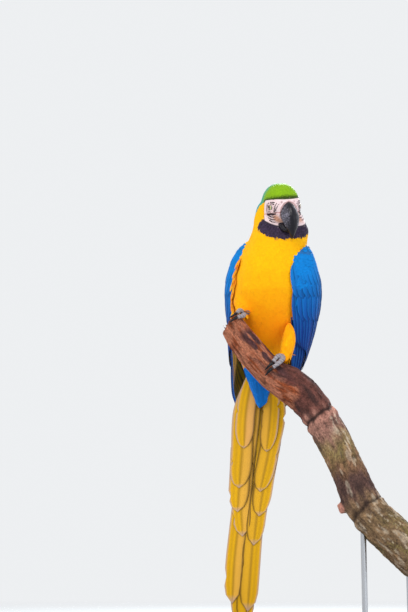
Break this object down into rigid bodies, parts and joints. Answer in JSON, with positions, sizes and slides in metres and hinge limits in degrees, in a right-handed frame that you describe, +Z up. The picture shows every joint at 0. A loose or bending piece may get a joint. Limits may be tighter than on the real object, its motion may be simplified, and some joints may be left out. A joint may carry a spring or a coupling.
{
  "type": "blue-and-yellow macaw on a perch",
  "caption": "Life-size still model of a blue-and-yellow macaw gripping a cut length of branch, with hooked bill, folded wings and long tail, held on rods over a flat base.",
  "frame": {"origin": "middle of the stand base's underside", "axes": "+X to the viewer's right, +Y away from the viewer, +Z up; the bird looks towards -Y"},
  "size_m": [0.4, 0.28, 0.8214],
  "materials": {
    "plumage_green": "short soft feathers, green fading to turquoise at the nape",
    "plumage_gold": "soft body feathers, golden yellow to orange",
    "plumage_blue": "smooth blue wing feathers",
    "plumage_olive": "long tail feathers, olive yellow below and blue above",
    "bill_black": "black horn with a grey sheen",
    "eye_pale": "wet pale-yellow iris with a black pupil",
    "foot_grey": "grey scaly skin",
    "claw_black": "black horn",
    "branch_bark": "bark, stripped to red-brown wood at the broken end",
    "stand_wood": "dark satin wood",
    "stand_steel": "satin steel rod"
  },
  "bodies": {
    "root": {"head": "plumage_green", "neck": "plumage_gold", "trunk": "plumage_gold", "eye_left": "eye_pale", "eye_right": "eye_pale", "upper_bill": "bill_black", "lower_bill": "bill_black", "thigh_left": "plumage_gold", "foot_left": "foot_grey", "claw_left_2": "claw_black", "claw_left_3": "claw_black", "claw_left_1": "claw_black", "claw_left_4": "claw_black", "thigh_right": "plumage_gold", "foot_right": "foot_grey", "claw_right_2": "claw_black", "claw_right_3": "claw_black", "claw_right_1": "claw_black", "claw_right_4": "claw_black", "wing_left": "plumage_blue", "primaries_left": "plumage_blue", "wing_right": "plumage_blue", "primaries_right": "plumage_blue", "tail": "plumage_olive", "perch_branch": "branch_bark", "stand_base": "stand_wood", "stand_rod_1": "stand_steel", "stand_rod_2": "stand_steel"}
  },
  "joints": []
}
